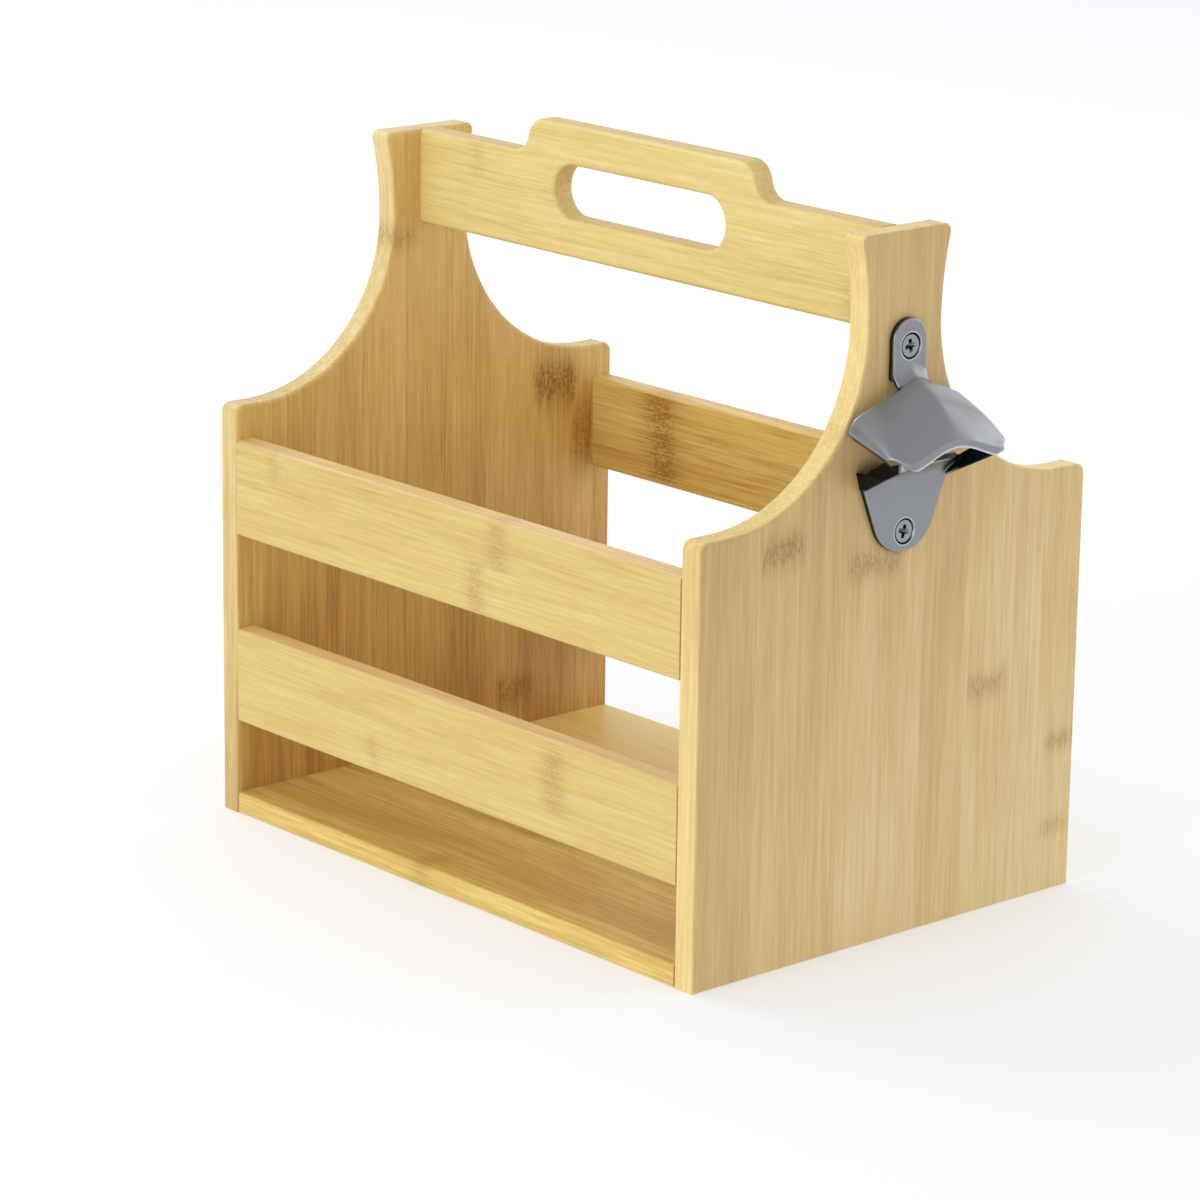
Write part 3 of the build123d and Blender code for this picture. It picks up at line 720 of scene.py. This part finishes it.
def openerPiece(look):
    tab, tongue, lip, web = (look[key] for key in ("tab", "tongue", "lip", "web"))
    parts = [hoodMesh(look["hood"]), neckMesh(look["neck"]), tabMesh(tab), tongueMesh(tongue),
             lipMesh(lip, web["footHalf"], tongue["thickness"])]
    parts += [webMesh(web, lip, tongue["thickness"], sign) for sign in (-1, 1)]
    cast = bpy.data.meshes.new("casting")
    whole = bmesh.new()
    for part in parts:
        whole.from_mesh(part.data)
        bpy.data.objects.remove(part)
    bmesh.ops.recalc_face_normals(whole, faces=whole.faces)
    whole.to_mesh(cast)
    whole.free()
    source = bpy.data.objects.new("casting", cast)
    melt = source.modifiers.new("melt", "REMESH")
    melt.mode = "VOXEL"
    melt.voxel_size = look["voxel"] * mm
    tumble = source.modifiers.new("tumble", "SMOOTH")
    tumble.factor, tumble.iterations = look["smoothing"]
    cutters = [sinkMesh("upperSink", look["sink"], tab["thickness"], look["screwSpacing"]),
               sinkMesh("lowerSink", look["sink"], tongue["thickness"], 0)]
    for cutter in cutters:
        hole = source.modifiers.new("hole", "BOOLEAN")
        hole.operation = "DIFFERENCE"
        hole.solver = "EXACT"
        hole.object = cutter
    piece = settle("castOpener", source, cutters)
    piece.data.shade_smooth()
    piece.data.set_sharp_from_angle(angle=math.radians(look["sharpAngle"]))
    scene.collection.objects.link(piece)
    return piece


# Zinc, die cast, tumbled and nickel plated: a satin grey metal with soft reflections and faint orange
# peel. The edges have a painted highlight, and the recesses and the side walls under the hood have
# painted shade.

zinc = {
    "colour": "#8F9194",
    "bright": "#D4D6D8",                  # painted highlight on the edges
    "paintedShadeColour": "#14181D",                    # painted shade in the recesses and on the side walls under the hood
    "roughness": 0.33,
    "peel": 1.6,                          # mm, size of the orange peel
    "cloud": 9,                           # mm, size of the patches of gloss
    "bump": 0.05,
    "recess": 20,                         # mm, how far off a wall still darkens the surface with painted shade
    # An edge is where the surface and its rounding over this radius in mm point apart. The other two
    # are the cosines between them where the painted highlight begins and where it is full
    "paintedEdgeHighlight": (1.25, 0.985, 0.94),
    # Painted shade on the side walls under the hood: mm from the middle, from the panel and above the
    # lower screw where it begins and where it is full, and how much of the brightness it takes
    "shaded": {"outside": (20.4, 21.4), "inside": (27.0, 26.4), "behind": (25.2, 24.2),
               "above": (18.7, 19.7), "below": (34.0, 33.4), "depth": 0.98},
}
metal = {                                 # the same for both metals
    "patches": (0.3, 0.7),                # levels of the pattern with the most gloss and the least
    "patchRoughness": (-0.05, 0.06),      # and what they change
    "relief": 0.2,                        # mm
    "openness": (0.5, 0.88),              # share of open view in a full recess and outside of it
    "recessRays": 8,
    "highlightRays": 6,
}


def shadedShare(tree, place, look):    # what the painted shade on the side walls leaves of the brightness
    axes = addNode(tree, "SeparateXYZ", {"Vector": place.outputs["Object"]})
    side = addNode(tree, "Math", {0: axes.outputs["Y"]}, operation="ABSOLUTE")
    reach, height = axes.outputs["X"], axes.outputs["Z"]
    share = look["depth"]
    for value, zero, key in ((side, 0, "outside"), (side, 0, "inside"), (reach, panelFace, "behind"),
                             (height, lowerScrewHeight, "above"), (height, lowerScrewHeight, "below")):
        start, full = look[key]
        ramp = addNode(tree, "MapRange", {"Value": value, "From Min": zero + start * mm,
                                          "From Max": zero + full * mm})
        share = addNode(tree, "Math", {0: ramp, 1: share}, operation="MULTIPLY")
    return addNode(tree, "Math", {0: 1.0, 1: share}, operation="SUBTRACT")


def metalMaterial(name, look):
    material, tree = newMaterial(name)
    place = addNode(tree, "TexCoord")
    peel, cloud = (addNode(tree, "TexNoise", {"Vector": place.outputs["Object"],
                                              "Scale": 1 / (look[key] * mm), "Detail": 2.0})
                   for key in ("peel", "cloud"))
    gloss = addNode(tree, "MapRange", {"Value": cloud,
                                       "From Min": metal["patches"][0],
                                       "From Max": metal["patches"][1],
                                       "To Min": look["roughness"] + metal["patchRoughness"][0],
                                       "To Max": look["roughness"] + metal["patchRoughness"][1]})
    bump = addNode(tree, "Bump", {"Height": peel, "Strength": look["bump"],
                                  "Distance": metal["relief"] * mm})
    # Painted shade: the colour goes to the dark shade colour in recesses and, on the opener, on the side
    # walls under the hood
    recess = addNode(tree, "AmbientOcclusion", {"Distance": look["recess"] * mm},
                     samples=metal["recessRays"])
    bright = addNode(tree, "MapRange", {"Value": recess.outputs["AO"],
                                        "From Min": metal["openness"][0],
                                        "From Max": metal["openness"][1]},
                     interpolation_type="SMOOTHSTEP")
    if "shaded" in look:
        shaded = shadedShare(tree, place, look["shaded"])
        bright = addNode(tree, "Math", {0: bright, 1: shaded}, operation="MULTIPLY")
    colour = addNode(tree, "Mix", {"Factor": bright, "A": paint(look["paintedShadeColour"]),
                                   "B": paint(look["colour"])}, data_type="RGBA")
    # Painted highlight: edges are mixed towards a bright colour, except where the painted shade is
    if "paintedEdgeHighlight" in look:
        radius, start, full = look["paintedEdgeHighlight"]
        surface = addNode(tree, "NewGeometry")
        rounded = addNode(tree, "Bevel", {"Radius": radius * mm}, samples=metal["highlightRays"])
        apart = addNode(tree, "VectorMath", {0: surface.outputs["Normal"], 1: rounded},
                        operation="DOT_PRODUCT")
        highlightShare = addNode(tree, "MapRange", {"Value": apart, "From Min": start, "From Max": full},
                       interpolation_type="SMOOTHSTEP")
        highlightShare = addNode(tree, "Math", {0: bright, 1: highlightShare}, operation="MULTIPLY")
        colour = addNode(tree, "Mix", {"Factor": highlightShare, "A": colour, "B": paint(look["bright"])},
                         data_type="RGBA")
    shader = addNode(tree, "BsdfPrincipled", {"Base Color": colour, "Metallic": 1.0,
                                              "Roughness": gloss, "Normal": bump})
    addNode(tree, "OutputMaterial", {"Surface": shader})
    return material


castOpener = openerPiece(opener)
castOpener.data.materials.append(metalMaterial("satinCastZinc", zinc))
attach(castOpener, "root")
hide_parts("bottle_opener")
print("opener cast:", len(castOpener.data.polygons), "faces")


# Screws: countersunk wood screws of turned steel, zinc plated, with a cross recess. The plating is a
# paler grey than the opener, shinier, and has painted shade at the bottom of the recess.

screw = {
    "headDiameter": 8.6, "shankDiameter": 3.8, "coreDiameter": 2.6, "length": 12, "pitch": 1.6,
    "recessSpan": 5.4, "recessSlot": 1.55, "recessDepth": 2.4,
    "recessFloor": 0.8,                   # radius out to which the recess has its full depth
    "wallSlope": 0.16,
    "edge": 0.14,                         # rounding of the head's rim
    "plain": 0.8, "threadStart": 0.6,     # mm without thread under the head, and mm for it to grow
    "pointLength": 3.0, "pointPower": 0.8, "pointEnd": 0.02,
    "middle": 0.004,                      # innermost ring, as a share of the head
    "headRings": 56, "edgeRings": 6, "shankRings": 110, "ringPoints": 240,
    "sharpAngle": 35,
    "turns": {"opener_screw_upper": 8, "opener_screw_lower": -14},
}
# The plating's dark colour is painted shade in the cross recess and around the head
plating = {"colour": "#989A9D", "paintedShadeColour": "#2A2D30", "roughness": 0.26, "peel": 0.8, "cloud": 3,
           "bump": 0.02, "recess": 1.6}


def screwMesh(name, look, turnDegrees):
    # Polar grid on the head, where the recess is a depth that depends on the distance from each arm of
    # the cross, then a turned shank whose radius follows a screw line
    angle = np.linspace(0, 2 * np.pi, look["ringPoints"], endpoint=False)[None, :]
    arm = angle - math.radians(turnDegrees)
    headRadius = look["headDiameter"] / 2 - look["edge"]
    radius = headRadius * np.linspace(look["middle"], 1, look["headRings"])[:, None] + 0 * angle
    offArm = np.minimum(np.abs(radius * np.cos(arm)), np.abs(radius * np.sin(arm)))
    wall = np.clip((look["recessSlot"] / 2 - offArm) / look["wallSlope"] + 0.5, 0, 1)
    span = look["recessSpan"] / 2
    floor = np.clip((span - radius) / (span - look["recessFloor"]), 0, 1)
    headDepth = -look["recessDepth"] * wall * floor
    bend = np.linspace(0, np.pi / 2, look["edgeRings"])[1:, None] + 0 * angle
    edgeRadius = headRadius + look["edge"] * np.sin(bend)
    edgeDepth = -look["edge"] * (1 - np.cos(bend))
    flank = (look["headDiameter"] - look["shankDiameter"]) / 2
    end = look["length"] - look["pointEnd"]
    depth = np.linspace(flank, end, look["shankRings"])[:, None] + 0 * angle
    thread = 1 - np.abs(((depth / look["pitch"] - angle / (2 * np.pi)) % 1) * 2 - 1)
    taper = np.clip((look["length"] - depth) / look["pointLength"], 0, 1) ** look["pointPower"]
    start = np.clip((depth - flank - look["plain"]) / look["threadStart"], 0, 1)
    crest = (look["shankDiameter"] - look["coreDiameter"]) / 2
    shankRadius = (look["coreDiameter"] / 2 + crest * (thread * start + (1 - start))) * taper
    radii = np.concatenate((radius, edgeRadius, shankRadius))
    depths = np.concatenate((headDepth, edgeDepth, -depth))
    low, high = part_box(name)
    middle = (low + high) / 2
    points = np.stack((high.x + depths * mm, middle.y + radii * np.cos(angle) * mm,
                       middle.z + radii * np.sin(angle) * mm), axis=-1)
    return loopMesh(name + "_dressed", points[::-1])


platedSteel = metalMaterial("zincPlatedSteel", plating)
for name, turnDegrees in screw["turns"].items():
    piece = screwMesh(name, screw, turnDegrees)
    scene.collection.objects.link(piece)
    piece.data.shade_smooth()
    piece.data.set_sharp_from_angle(angle=math.radians(screw["sharpAngle"]))
    piece.data.materials.append(platedSteel)
    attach(piece, "root")
    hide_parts(name)
print("screws turned:", len(screw["turns"]))
